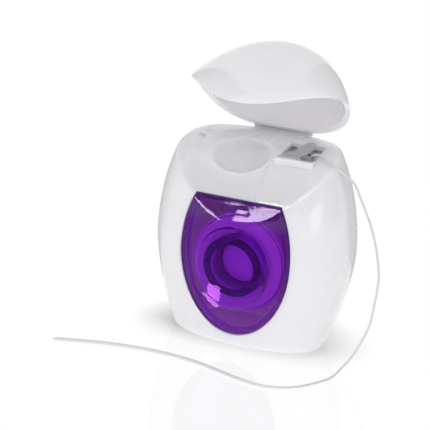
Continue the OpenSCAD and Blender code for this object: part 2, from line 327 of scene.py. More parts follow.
def around(count):
    """Even angles of a full turn."""
    return [2 * math.pi * k / count for k in range(count)]


def bent(a, b, c, t):
    """A place on the curve from a to c that is drawn towards b."""
    return a * (1 - t) ** 2 + b * 2 * t * (1 - t) + c * t**2


def roll_skin(bm, columns):
    """Rolls a grid into a skin: each column is one list of places from the first end to the last."""
    count, along = len(columns), len(columns[0]) - 1
    made = bmesh.ops.create_grid(bm, x_segments=count, y_segments=along, size=0.5)["verts"]
    for vert in made:
        column = round((vert.co.x + 0.5) * count) % count
        vert.co = columns[column][round((vert.co.y + 0.5) * along)]
    bmesh.ops.remove_doubles(bm, verts=made, dist=WELD)
    return [vert for vert in made if vert.is_valid]


def face_outwards(bm, verts, inwards=False):
    faces = list({face for vert in verts for face in vert.link_faces})
    bmesh.ops.recalc_face_normals(bm, faces=faces)
    if inwards:
        bmesh.ops.reverse_faces(bm, faces=faces)


def make_piece(name, bm):
    mesh = bpy.data.meshes.new(name)
    bm.to_mesh(mesh)
    bm.free()
    piece = bpy.data.objects.new(name, mesh)
    bpy.context.scene.collection.objects.link(piece)
    return piece


def skin_piece(name, columns):
    """A closed piece from the columns of its skin."""
    bm = bmesh.new()
    face_outwards(bm, roll_skin(bm, columns))
    return make_piece(name, bm)


def loft(rings):
    """Columns through rings, each given as (middle, places), closed by the middles of both ends."""
    first, last = rings[0][0], rings[-1][0]
    return [[first, *column, last] for column in zip(*(places for _, places in rings))]


def combine(piece, tool, operation):
    """Cuts a tool shape out of a piece, or joins it on, and removes the tool."""
    step = piece.modifiers.new("combine", "BOOLEAN")
    step.operation, step.solver, step.object = operation, "EXACT", tool
    layer = bpy.context.evaluated_depsgraph_get()
    result = bpy.data.meshes.new_from_object(piece.evaluated_get(layer))
    piece.modifiers.clear()
    old, piece.data = piece.data, result
    result.name = piece.name
    bpy.data.meshes.remove(old)
    bpy.data.objects.remove(tool)
    if not len(piece.data.polygons):
        raise RuntimeError(f"{piece.name}: nothing is left after {operation.lower()}")


def shade(piece, material, crease=35.0):
    mesh = piece.data
    mesh.polygons.foreach_set("use_smooth", [True] * len(mesh.polygons))
    mesh.set_sharp_from_angle(angle=math.radians(crease))
    mesh.materials.clear()
    mesh.materials.append(material)


def block(low, high, bevel=0.0, upright_only=False):
    """A block between two corners, with its edges, or only its upright ones, rounded."""
    bm = bmesh.new()
    made = bmesh.ops.create_cube(bm, size=1.0)["verts"]
    bmesh.ops.scale(bm, verts=made, vec=[b - a for a, b in zip(low, high)])
    bmesh.ops.translate(bm, verts=made, vec=[(a + b) / 2 for a, b in zip(low, high)])
    if bevel:
        runs = [(edge, edge.verts[0].co - edge.verts[1].co) for edge in bm.edges]
        edges = [edge for edge, run in runs if not upright_only or abs(run.z) > abs(run.x) + abs(run.y)]
        bmesh.ops.bevel(bm, geom=edges, offset=bevel, affect="EDGES", segments=4, profile=0.5, material=-1)
    return bm


def turn_and_move(bm, angle, axis, place):
    bmesh.ops.rotate(bm, verts=bm.verts, cent=(0, 0, 0), matrix=Matrix.Rotation(angle, 3, axis))
    bmesh.ops.translate(bm, verts=bm.verts, vec=place)
    return bm


def lathe(name, profile, height, segments):
    """Turns a closed profile of (radius, place) round the spool's axis, which runs along Y."""
    bm = bmesh.new()
    verts = [bm.verts.new((r, y, height)) for r, y in profile]
    edges = [bm.edges.new(pair) for pair in zip(verts, verts[1:] + verts[:1])]
    bmesh.ops.spin(
        bm,
        geom=verts + edges,
        cent=(0, 0, height),
        axis=(0, 1, 0),
        angle=2 * math.pi,
        steps=segments,
        use_merge=True,
    )
    bmesh.ops.remove_doubles(bm, verts=bm.verts[:], dist=WELD)
    face_outwards(bm, bm.verts[:])
    return make_piece(name, bm)


def ribbon(path, wide_axis, width, thickness, sides=12, taper=None):
    """Columns of a flat oval strand along a path, closed at both ends."""
    rings, last = [], len(path) - 1
    for i, place in enumerate(path):
        along = (path[min(i + 1, last)] - path[max(i - 1, 0)]).normalized()
        wide = wide_axis(i / last)
        wide = (wide - along * wide.dot(along)).normalized()
        thin = along.cross(wide)
        share = taper(i / last) if taper else 1.0
        out, up = wide * (width / 2 * share), thin * (thickness / 2 * share)
        rings.append((place, [place + out * math.cos(a) + up * math.sin(a) for a in around(sides)]))
    return loft(rings)


def front_to_rear(share):
    """Wide side of the strands inside the case."""
    return Vector((0, 1, 0))


def spline(points, spacing):
    """Smooth path through points, in even short pieces."""
    places, last = [], len(points) - 1
    for i in range(last):
        a, b, c, d = points[max(i - 1, 0)], points[i], points[i + 1], points[min(i + 2, last)]
        steps = max(1, round((c - b).length / spacing))
        for k in range(steps):
            t = k / steps
            bend, twist = 2 * a - 5 * b + 4 * c - d, 3 * b - a - 3 * c + d
            places.append(0.5 * (2 * b + (c - a) * t + bend * t**2 + twist * t**3))
    return places + [points[-1]]


# --- materials -----------------------------------------------------------------------------------

# the part of a noise pattern's range that the finishes use
PATTERN_LOW, PATTERN_HIGH = 0.3, 0.7
MICRON = 1e-6


def connect(tree, term, socket):
    """Links a socket to another node's output, or else sets its value."""
    if isinstance(term, bpy.types.NodeSocket):
        tree.links.new(term, socket)
    else:
        socket.default_value = term


def add(tree, kind, *terms, **values):
    """A node with its inputs given in order or by name, and its settings by name."""
    node = tree.nodes.new(kind)
    for key, value in values.items():
        socket = node.inputs.get(key.replace("_", " "))
        if socket:
            connect(tree, value, socket)
        else:
            setattr(node, key, value)
    for term, socket in zip(terms, node.inputs):
        connect(tree, term, socket)
    return node


def calc(tree, operation, *terms, clamp=False):
    return add(tree, "ShaderNodeMath", *terms, operation=operation, use_clamp=clamp).outputs[0]


def remap(tree, value, start, end, low, high):
    return add(tree, "ShaderNodeMapRange", value, start, end, low, high).outputs["Result"]


def axes(tree, coordinates):
    """The X, Y and Z outputs of a texture coordinate."""
    place = add(tree, "ShaderNodeTexCoord").outputs[coordinates]
    return add(tree, "ShaderNodeSeparateXYZ", place).outputs


def mix(tree, share, first, second):
    return add(tree, "ShaderNodeMixShader", share, first.outputs[0], second.outputs[0])


def bare_tree(holder):
    """The emptied node tree of a material or a world."""
    holder.use_nodes = True
    holder.node_tree.nodes.clear()
    return holder.node_tree


def new_material(name, colour, **values):
    material = bpy.data.materials.new(name)
    material.use_nodes = True
    shader = material.node_tree.nodes["Principled BSDF"]
    shader.inputs["Base Color"].default_value = (*colour, 1.0)
    for key, value in values.items():
        shader.inputs[key.replace("_", " ")].default_value = value
    return material, material.node_tree, shader


def vary(tree, source, shader, low, high):
    """Lets a pattern move the roughness between two ends."""
    connect(tree, remap(tree, source, PATTERN_LOW, PATTERN_HIGH, low, high), shader.inputs["Roughness"])


def tint(tree, source, shader, colour, spread):
    """Lets a pattern shift the base colour a little to either side."""
    ramp = add(tree, "ShaderNodeValToRGB", source)
    stops = zip(ramp.color_ramp.elements, (PATTERN_LOW, PATTERN_HIGH), (1 - spread, 1 + spread))
    for stop, position, factor in stops:
        stop.position = position
        stop.color = [min(c * factor, 1.0) for c in colour] + [1.0]
    connect(tree, ramp.outputs["Color"], shader.inputs["Base Color"])


def bump(tree, shader, *sources):
    """Stacks bump patterns of (output, depth in metres)."""
    normal = {}
    for source, depth in sources:
        node = add(tree, "ShaderNodeBump", Strength=1.0, Distance=depth, Height=source, **normal)
        normal = {"Normal": node.outputs["Normal"]}
    connect(tree, normal["Normal"], shader.inputs["Normal"])


def grain(tree, scale, detail=2.0, stretch=None):
    """Noise in object space, with scale in cells per metre."""
    place = add(tree, "ShaderNodeTexCoord").outputs["Object"]
    if stretch:
        place = add(tree, "ShaderNodeMapping", Vector=place, Scale=stretch).outputs["Vector"]
    return add(tree, "ShaderNodeTexNoise", Vector=place, Scale=scale, Detail=detail).outputs["Fac"]


def moulded_white(name, colour, roughness=0.24):
    material, tree, shader = new_material(
        name,
        colour,
        IOR=1.49,
        Specular_IOR_Level=0.25,
        Coat_Weight=0.9,
        Coat_Roughness=0.03,
        Subsurface_Weight=0.8,
        Subsurface_Radius=(1.0, 0.95, 1.0),
        Subsurface_Scale=2.8 * MM,
    )
    tint(tree, grain(tree, 90.0), shader, colour, 0.012)
    vary(tree, grain(tree, 420.0), shader, roughness - 0.03, roughness + 0.04)
    bump(tree, shader, (grain(tree, 160.0, 0.0), 4 * MICRON))
    return material


def tinted_clear(name, colours):
    """Clear tinted plastic; its sloping facet above facet_low mirrors the light almost untinted."""
    facet_low, facet_high = 34.0 * MM, 36.5 * MM
    material, tree, shader = new_material(name, colours.window_tint, IOR=1.5, Transmission_Weight=1.0)
    facet = remap(tree, axes(tree, "Object")["Z"], facet_low, facet_high, 0.0, 1.0)
    sheen = add(tree, "ShaderNodeValToRGB", facet)
    front, slope = sheen.color_ramp.elements
    front.color, slope.color = (0.6, 0.06, 0.95, 1.0), (0.9, 0.72, 1.0, 1.0)
    connect(tree, sheen.outputs["Color"], shader.inputs["Specular Tint"])
    depth = add(tree, "ShaderNodeVolumeAbsorption", Color=(*colours.window_depth, 1.0), Density=150.0)
    connect(tree, depth.outputs["Volume"], tree.nodes["Material Output"].inputs["Volume"])
    vary(tree, grain(tree, 500.0), shader, 0.025, 0.05)
    bump(tree, shader, (grain(tree, 260.0, 0.0), 12 * MICRON), (grain(tree, 900.0, 1.0), 4 * MICRON))
    return material


def patterned(name, colour, pattern, spread, low, high, depth, **values):
    """A finish in which one pattern, given as (scale, detail, stretch), drives colour, gloss and bump."""
    material, tree, shader = new_material(name, colour, **values)
    source = grain(tree, *pattern)
    tint(tree, source, shader, colour, spread)
    vary(tree, source, shader, low, high)
    bump(tree, shader, (source, depth))
    return material


def brushed_steel(name, colour):
    lines = (900.0, 4.0, (0.06, 1.0, 1.0))
    return patterned(name, colour, lines, 0.1, 0.28, 0.42, 8 * MICRON, Metallic=1.0)


def waxed_floss(name, colour):
    fibre = (2600.0, 3.0)
    return patterned(name, colour, fibre, 0.05, 0.34, 0.5, 30 * MICRON, IOR=1.45, Sheen_Weight=0.25)


def thin_web(name, colour):
    cloud = (800.0,)
    return patterned(name, colour, cloud, 0.04, 0.3, 0.45, 10 * MICRON, IOR=1.49, Transmission_Weight=0.1)


# --- pieces --------------------------------------------------------------------------------------

# routes in millimetres; the free end of the floss runs over the slope, down the side and along the ground
FLOSS_ROUTE = [
    (14, 0.6, 51.5), (14.9, 0.4, 52.4), (16.6, 0, 52.8), (19, -1.6, 52.4), (21.5, -2.8, 51.8),
    (23.8, -3.6, 50.8), (28.2, -4.7, 48.4), (30.9, -5.3, 44.2), (33.7, -5.8, 39.1), (35.8, -6.4, 34),
    (37.1, -6.9, 29.3), (37.7, -7.3, 25.3), (37.5, -7.9, 20.1), (36.8, -8.8, 13.4), (34.7, -10, 7.4),
    (33.1, -11.2, 4.1), (31.8, -12.7, 2.2), (30.9, -14.8, 0.9), (30.2, -17, 0.45), (28.9, -20, 0.4),
    (25.8, -25.4, 0.4), (22, -28.6, 0.4), (17.2, -30.1, 0.4), (11.2, -29.4, 0.4), (4, -27.3, 0.4),
    (-3.2, -25.3, 0.4), (-11, -24.4, 0.4), (-20, -24.8, 0.4), (-29, -26.6, 0.4), (-36, -29, 0.4),
    (-42, -31.2, 0.4),
]
# route of the floss inside the case, from the spool to the exit
FLOSS_RUN = [
    (13.449, 2.5, 24), (13.449, 2.4, 27), (13.549, 2.2, 31), (13.649, 1.9, 35), (13.749, 1.6, 39),
    (13.9, 1.3, 43), (14, 1, 46), (14, 0.7, 49), (14, 0.6, 50.8),
]


def in_metres(points):
    return [Vector(p) * MM for p in points]


class DISPENSER_OT_camera(bpy.types.Operator):
    """Sets the camera in front of the dispenser, a little above it and to its right"""

    bl_idname = "dispenser.camera"
    bl_label = "Camera"

    def execute(self, context):
        azimuth, elevation, roll = (math.radians(a) for a in (22.9276, 18.1946, 3.7062))
        aim, distance = Vector((0, 0, 30 * MM)), 456.3707 * MM
        # picture side, place of the aim in it and focal length, all in picture dots
        side, aim_x, aim_y, focal = 430, 254.6872, 228.3231, 1742.3584
        level = math.cos(elevation)
        back = Vector((math.sin(azimuth) * level, -math.cos(azimuth) * level, math.sin(elevation)))
        right = Vector((math.cos(azimuth), math.sin(azimuth), 0))
        up = back.cross(right)
        c, s = math.cos(roll), math.sin(roll)
        right, up = right * c + up * s, up * c - right * s
        data = bpy.data.cameras.new("camera")
        data.sensor_width = 36.0
        data.lens = focal / side * data.sensor_width
        data.shift_x, data.shift_y = (side / 2 - aim_x) / side, (aim_y - side / 2) / side
        data.clip_start, data.clip_end = 0.01, 10.0
        camera = bpy.data.objects.new("camera", data)
        context.scene.collection.objects.link(camera)
        camera.matrix_world = Matrix((right, up, back)).transposed().to_4x4()
        camera.location = aim + back * distance
        context.scene.camera = camera
        return {"FINISHED"}


class DISPENSER_OT_floss_end(bpy.types.Operator):
    """Lays the free end of the floss over the slope, down the right side and along the ground"""

    bl_idname = "dispenser.floss_end"
    bl_label = "Free floss end"

    def execute(self, context):
        sizes = context.scene.floss_floss
        path = spline(in_metres(FLOSS_ROUTE), 0.6 * MM)
        hanging, lying = Vector((0.37, -0.875, 0.31)), Vector((0.1, 0.25, 1.0))

        def wide_axis(share):
            lie = smooth_step((share - 0.5) / 0.22)
            return hanging * (1 - lie) + lying * lie

        def taper(share):
            return 1.0 - 0.75 * smooth_step((share - 0.985) / 0.015)

        piece = skin_piece("floss_end", ribbon(path, wide_axis, sizes.width, sizes.thickness, taper=taper))
        # the darker colour of the free end is painted shade on the thin strand
        shade(piece, waxed_floss("Floss, free end", context.scene.floss_colours.floss), 60)
        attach(piece, "case")
        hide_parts("floss_tail")
        return {"FINISHED"}


class DISPENSER_OT_case(bpy.types.Operator):
    """Models the white case with its slope, thumb scoop, clip seat and window opening"""

    bl_idname = "dispenser.case"
    bl_label = "Case"

    # the recessed underside as (share of the foot's reach, height)
    foot_steps = ((0.4, 0.4), (0.8, 0.4), (0.83, 0.3), (0.86, 0.05), (0.88, 0.0), (0.95, 0.0))
    base_rings, side_rings, crease_rings, top_rings, inner_rings = 8, 52, 7, 72, 24
    # corners of the snap notch on the left of the slope
    notch_low, notch_high = in_metres(((-18.4, 1.2, 51.2), (-16.4, 2.4, 54.3)))

    def on_top(self, form, corner, share, sunk=0.0):
        """A place on the finished slope, at a share of the way from the middle to a corner."""
        x, y = corner.x * share, corner.y * share
        return Vector((x, y, form.top_surface(x, y) - sunk))

    def outer_column(self, form, angle):
        foot = form.point(angle, 0.0)
        column = [Vector((0, 0, self.foot_steps[0][1] * MM))]
        column += [Vector((foot.x * share, foot.y * share, z * MM)) for share, z in self.foot_steps]
        for k in range(self.base_rings + 1):
            rise = 1 - math.cos(math.pi / 2 * k / self.base_rings)
            column.append(form.point(angle, form.base_round * rise))
        rim = form.rim_height(angle)
        corner, start = form.point(angle, rim), rim - form.crease_round
        for k in range(1, self.side_rings + 1):
            share = k / self.side_rings
            column.append(form.point(angle, form.base_round + (start - form.base_round) * share))
        side = column[-1]
        # the crease rounds over onto the slope as far in as it reaches down the side
        step = 0.03
        near = self.on_top(form, corner, 1 - step)
        share = 1 - step * form.crease_round / (near - corner).length
        inner = self.on_top(form, corner, share)
        column += [bent(side, corner, inner, k / self.crease_rings) for k in range(1, self.crease_rings)]
        for k in range(self.top_rings + 1):
            column.append(self.on_top(form, corner, share * (1 - k / self.top_rings)))
        return column

    def inner_column(self, form, angle):
        inset, rings = form.wall, self.inner_rings
        rim = form.rim_height(angle, inset, -inset)
        foot = form.point(angle, inset, inset)
        column = [Vector((0, 0, inset)), Vector((foot.x * 0.6, foot.y * 0.6, inset))]
        column += [form.point(angle, inset + (rim - inset) * k / rings, inset) for k in range(rings + 1)]
        corner = column[-1]
        column += [self.on_top(form, corner, 1 - k / rings, inset) for k in range(1, rings + 1)]
        return column

    def execute(self, context):
        form, window, clip = case_form(), context.scene.floss_window, context.scene.floss_clip
        bm = bmesh.new()
        face_outwards(bm, roll_skin(bm, [self.outer_column(form, angle) for angle in around(256)]))
        inner = roll_skin(bm, [self.inner_column(form, angle) for angle in around(96)])
        face_outwards(bm, inner, inwards=True)
        piece = make_piece("case", bm)
        # the seat is a pad that reaches out round the clip and down into the slope
        low = (clip.left - 0.9 * MM, clip.front - 0.7 * MM, clip.seat - 3.2 * MM)
        high = (clip.right + 0.7 * MM, clip.rear + 1.3 * MM, clip.seat + 0.9 * clip.steel)
        combine(piece, make_piece("seat", block(low, high, 0.5 * MM)), "UNION")
        combine(piece, self.openings(form, window, clip), "DIFFERENCE")
        combine(piece, self.post(form, context.scene.floss_spool), "UNION")
        combine(piece, self.exit_hole(clip), "DIFFERENCE")
        shade(piece, moulded_white("Barrel, moulded white", context.scene.floss_colours.case_white))
        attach(piece, "case")
        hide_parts("body_shell")
        return {"FINISHED"}

    def post(self, form, spool):
        """The post on the rear wall that plugs into the window's axle."""
        radius, front, ease = spool.axle_bore - 0.25 * MM, spool.post_front, 0.3 * MM
        rear = form.rear_depth - 0.9 * MM
        profile = [(0.0, front), (radius - ease, front), (radius, front + ease), (radius, rear), (0.0, rear)]
        return lathe("post", profile, spool.axis_height, 64)

    def exit_hole(self, clip):
        """The hole through the clip's seat that the floss comes out of."""
        (x, y, _), radius, below = FLOSS_ROUTE[0], 0.9 * MM, 2 * MM
        bm = bmesh.new()
        bmesh.ops.create_cone(bm, cap_ends=True, segments=32, radius1=radius, radius2=radius, depth=6 * MM)
        bmesh.ops.translate(bm, verts=bm.verts, vec=(x * MM, y * MM, clip.seat - below))
        return make_piece("hole", bm)

    def openings(self, form, window, clip):
        """The window opening with a rounded lip, the clip pocket and the snap notch, as one tool."""
        play = 0.12 * MM
        low = (clip.left - play, clip.front - play, clip.seat)
        high = (clip.right + play, clip.rear + 0.15 * MM, clip.seat + 6 * MM)
        tool = block(low, high, 0.15 * MM, upright_only=True)
        notch = block(self.notch_low, self.notch_high)
        mesh = bpy.data.meshes.new("notch")
        notch.to_mesh(mesh)
        notch.free()
        tool.from_mesh(mesh)
        bpy.data.meshes.remove(mesh)
        inside, outside, lip = -7.4 * MM, -30 * MM, 0.35 * MM
        columns = []
        for k in range(OUTLINE_STEPS):
            x, z = window_outline(window, k, 0.0)
            column = [Vector((0, inside, window.oval_middle)), Vector((x, inside, z))]
            for j in range(7):
                a = math.radians(78 * j / 6)
                wx, wz = window_outline(window, k, -lip * (1 - math.cos(a)))
                column.append(Vector((wx, form.front_face(wx, wz) + lip * (1 - math.sin(a)), wz)))
            wx, wz = window_outline(window, k, -lip * (1 - math.cos(a)) - 0.5 * MM)
            column.append(Vector((wx, form.front_face(wx, wz) - 0.12 * MM, wz)))
            column.append(Vector((wx, form.front_face(x, z) - 12 * MM, wz)))
            column.append(Vector((0, outside, window.oval_middle)))
            columns.append(column)
        face_outwards(tool, roll_skin(tool, columns))
        return make_piece("openings", tool)


# steps round the window's outline, and how many of them are on its straight top edge
OUTLINE_STEPS = 220
TOP_STEPS = 64


def window_outline(sizes, step, inset):
    """A place on the window's outline drawn in by inset: the straight top edge, then round the oval."""
    a, down, up = sizes.half_width - inset, sizes.down - inset, sizes.up - inset
    top = sizes.top - inset
    corner = math.asin((top - sizes.middle) / up)
    if step < TOP_STEPS:
        return a * math.cos(corner) * (1 - 2 * step / TOP_STEPS), top
    share = (step - TOP_STEPS) / (OUTLINE_STEPS - TOP_STEPS)
    angle = math.pi - corner + share * (math.pi + 2 * corner)
    reach = up if math.sin(angle) > 0 else down
    return a * math.cos(angle), sizes.middle + reach * math.sin(angle)


class DISPENSER_OT_window(bpy.types.Operator):
    """Models the tinted window with its skirt, raised oval, latch slot and axle"""

    bl_idname = "dispenser.window"
    bl_label = "Window"

    # the raised oval's edge as (growth in millimetres, share of its rise), and the ease at corners
    oval_edge = ((-0.2, 0.97), (-0.08, 0.86), (0.0, 0.68), (0.08, 0.4), (0.16, 0.16), (0.28, 0.03))
    edge, inner_edge = 0.3 * MM, 0.4 * MM

    def column(self, form, sizes, step):
        middle = sizes.oval_middle
        ox, oz = window_outline(sizes, step, sizes.gap)
        angle = math.atan2((oz - middle) / sizes.oval_half_height, ox / sizes.oval_half_width)

        def oval(grow):
            wide, high = sizes.oval_half_width + grow, sizes.oval_half_height + grow
            return wide * math.cos(angle), middle + high * math.sin(angle)

        def face(x, z, rise=0.0):
            return Vector((x, form.front_face(x, z) - rise, z))

        def rounded(inset, edge, share, depth, sign):
            """A place on the quarter round at the front edge or behind it."""
            ways = math.sin(math.pi / 2 * share), math.cos(math.pi / 2 * share)
            aside, back = ways if sign > 0 else ways[::-1]
            x, z = window_outline(sizes, step, inset + edge * (1 - aside))
            return face(x, z, -(depth + edge * (1 - back)))

        column = [face(0.0, middle, sizes.oval_rise)]
        x, z = oval(-0.35 * MM)
        for k in range(1, 15):
            column.append(face(x * k / 14, middle + (z - middle) * k / 14, sizes.oval_rise))
        column += [face(*oval(grow * MM), sizes.oval_rise * share) for grow, share in self.oval_edge]
        start, end = oval(0.45 * MM), window_outline(sizes, step, sizes.gap + self.edge)
        for k in range(33):
            t = k / 32
            column.append(face(start[0] + (end[0] - start[0]) * t, start[1] + (end[1] - start[1]) * t))
        column += [rounded(sizes.gap, self.edge, k / 5, 0.0, 1) for k in range(1, 6)]
        x, front, z = column[-1]
        back = -form.front_depth + sizes.skirt
        column += [Vector((x, front + (back - front) * k / 5, z)) for k in range(1, 6)]
        x, z = window_outline(sizes, step, sizes.gap + sizes.wall)
        front = form.front_face(x, z) + sizes.wall + self.inner_edge
        column += [Vector((x, back + (front - back) * k / 5, z)) for k in range(6)]
        wall = sizes.wall
        column += [rounded(sizes.gap + wall, self.inner_edge, k / 4, wall, -1) for k in range(1, 5)]
        x, _, z = column[-1]
        for k in range(1, 37):
            share = 1 - k / 36
            column.append(face(x * share, middle + (z - middle) * share, -wall))
        return column

    def execute(self, context):
        form, sizes, spool = case_form(), context.scene.floss_window, context.scene.floss_spool
        piece = skin_piece("window", [self.column(form, sizes, k) for k in range(OUTLINE_STEPS)])
        start, end, ease = -13.5 * MM, spool.front + spool.width - 0.2 * MM, 0.25 * MM
        bore, radius = spool.axle_bore, spool.axle_radius
        profile = [(bore, start), (radius, start), (radius, end - ease), (radius - ease, end)]
        profile += [(bore + ease, end), (bore, end - ease)]
        combine(piece, lathe("axle", profile, spool.axis_height, 96), "UNION")
        slot = slot_tool(form, sizes, sizes.slot_length, sizes.slot_width, -sizes.slot_depth, 2 * MM, "slot")
        combine(piece, slot, "DIFFERENCE")
        shade(piece, tinted_clear("Window, tinted clear", context.scene.floss_colours), 40)
        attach(piece, "case")
        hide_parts("window_cover")
        return {"FINISHED"}


def slot_tool(form, sizes, long, wide, low, high, name):
    """A round-ended bar across the slope at the latch, between two depths from its surface."""
    place, near = form.slope_place(sizes.slot_height), 0.2 * MM
    tilt = math.atan2(form.seam(place + near) - form.seam(place - near), 2 * near)
    bm = bmesh.new()
    ring = bmesh.ops.create_circle(bm, cap_ends=True, segments=32, radius=wide / 2)["verts"]
    for vert in ring:
        vert.co.x += math.copysign((long - wide) / 2, vert.co.x)
    grown = bmesh.ops.extrude_face_region(bm, geom=bm.faces[:])["geom"]
    raised = [part for part in grown if isinstance(part, bmesh.types.BMVert)]
    bmesh.ops.translate(bm, verts=raised, vec=(0, 0, high - low))
    floor = [edge for edge in bm.edges if all(abs(vert.co.z) < 1e-6 for vert in edge.verts)]
    bmesh.ops.bevel(bm, geom=floor, offset=0.2 * MM, affect="EDGES", segments=3, profile=0.5, material=-1)
    bmesh.ops.translate(bm, verts=bm.verts, vec=(0, 0, low))
    turn_and_move(bm, tilt, "X", (0, place, sizes.slot_height))
    face_outwards(bm, bm.verts[:])
    return make_piece(name, bm)


class DISPENSER_OT_cap(bpy.types.Operator):
    """Models the flip cap where it stands open"""

    bl_idname = "dispenser.cap"
    bl_label = "Cap"

    def column(self, form, sizes, angle):
        def rise(inset, steps):
            rim, top = form.rim_height(angle, inset, sizes.gap), form.height - inset
            shares = [math.sin(math.pi / 2 * k / steps) for k in range(steps + 1)]
            return [form.point(angle, rim + (top - rim) * share, inset) for share in shares]

        inner, outer = rise(sizes.wall, 44), rise(0.0, 64)
        column = inner[::-1]
        a, b = column[-1], outer[0]
        for k in range(1, 6):
            t = k / 6
            x, y = a.x + (b.x - a.x) * t, a.y + (b.y - a.y) * t
            column.append(Vector((x, y, form.seam(y) + sizes.gap)))
        return column + outer

    def execute(self, context):
        form, sizes, window = case_form(), context.scene.floss_cap, context.scene.floss_window
        piece = skin_piece("cap", [self.column(form, sizes, angle) for angle in around(256)])
        play = 0.9 * MM
        long, wide = window.slot_length - play, window.slot_width - play
        bead = slot_tool(form, window, long, wide, 0.25 * MM - window.slot_depth, 0.5 * MM, "bead")
        combine(piece, bead, "UNION")
        hinge = hinge_place(form)
        swing = Matrix.Rotation(-sizes.open_angle, 4, "X")
        piece.data.transform(Matrix.Translation(hinge) @ swing @ Matrix.Translation(-hinge))
        shade(piece, moulded_white("Cap, moulded white", context.scene.floss_colours.cap_white, 0.2))
        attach(piece, "cap")
        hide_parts("lid_shell")
        return {"FINISHED"}


def hinge_place(form):
    return Vector((0, form.section(form.seam_height)[2], form.seam_height))


def flat_cosine(angle, gain):
    """A cosine with its ends cut flat, for strips with square sides."""
    return max(-1, min(1, gain * math.cos(angle)))


class DISPENSER_OT_hinge_web(bpy.types.Operator):
    """Models the thin web that joins the rear rims"""

    bl_idname = "dispenser.hinge_web"
    bl_label = "Hinge web"

    def execute(self, context):
        form, sizes = case_form(), context.scene.floss_cap
        hinge = hinge_place(form)
        start, bow, end = in_metres(((0, -0.1, -0.8), (0, 0.45, 0.25), (0, -0.1, 0.9)))
        end = Matrix.Rotation(-sizes.open_angle, 3, "X") @ end
        half, thick, steps = sizes.web_length / 2, sizes.web_thickness / 2, 12
        rings = []
        for k in range(steps + 1):
            t = k / steps
            middle = hinge + bent(start, bow, end, t)
            along = ((bow - start) * (1 - t) + (end - bow) * t).normalized()
            out = Vector((0, along.z, -along.y)) * thick
            ring = [
                middle + out * signed_power(math.sin(a), 0.6) + Vector((half * flat_cosine(a, 1.06), 0, 0))
                for a in around(16)
            ]
            rings.append((middle, ring))
        piece = skin_piece("hinge_web", loft(rings))
        shade(piece, thin_web("Hinge, thin web", context.scene.floss_colours.web), 50)
        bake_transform(piece)
        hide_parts("hinge_strap")
        return {"FINISHED"}


class DISPENSER_OT_clip(bpy.types.Operator):
    """Models the steel cutter clip with its lifted tongue"""

    bl_idname = "dispenser.clip"
    bl_label = "Cutter clip"

    def execute(self, context):
        sizes, lift = context.scene.floss_clip, 0.02 * MM
        low = (sizes.left, sizes.front, sizes.seat + lift)
        high = (sizes.right, sizes.rear, sizes.seat + lift + sizes.steel)
        piece = make_piece("clip", block(low, high, 0.05 * MM))
        root = Vector((10.0 * MM, -0.2 * MM, sizes.seat))
        low = (0.9 * MM, -2.7 * MM, -2 * MM)
        high = (sizes.tongue_length - 1.3 * MM, 1.9 * MM, 2 * MM)
        gap = turn_and_move(block(low, high, 0.3 * MM, upright_only=True), sizes.tongue_turn, "Z", root)
        combine(piece, make_piece("gap", gap), "DIFFERENCE")
        tongue = turn_and_move(self.tongue(sizes), sizes.tongue_turn, "Z", root + Vector((0, 0, lift)))
        combine(piece, make_piece("tongue", tongue), "UNION")
        shade(piece, brushed_steel("Clip, brushed steel", context.scene.floss_colours.steel), 30)
        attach(piece, "case")
        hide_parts("cutter_clip")
        return {"FINISHED"}

    def tongue(self, sizes):
        """A strip that bends up from the plate and ends in a round tip."""
        steel, long, tip, wide = sizes.steel, sizes.tongue_length, 1.9 * MM, 2.9 * MM
        root, bend_length, sideways, steps = 0.4 * MM, 1.4 * MM, 0.6 * MM, 26
        rings = []
        for k in range(steps + 1):
            s = -root + (long + root) * (1 - (1 - k / steps) ** 1.6)
            out = max(s, 0)
            bend = sizes.tongue_lift * smooth_step((s + root) / bend_length)
            past = max(s - (long - tip), 0)
            half = max(wide * math.sqrt(max(1 - (past / tip) ** 2.6, 0)), 0.05 * MM)
            normal = Vector((-math.sin(bend), 0, math.cos(bend))) * (steel / 2)
            rise = out * math.tan(bend) * 0.93 + steel / 2
            middle = Vector((s * math.cos(bend * 0.5), sideways * out / long, rise))
            ring = [
                middle + Vector((0, half * flat_cosine(a, 1.08), 0)) + normal * signed_power(math.sin(a), 0.4)
                for a in around(24)
            ]
            rings.append((middle, ring))
        bm = bmesh.new()
        face_outwards(bm, roll_skin(bm, loft(rings)))
        return bm


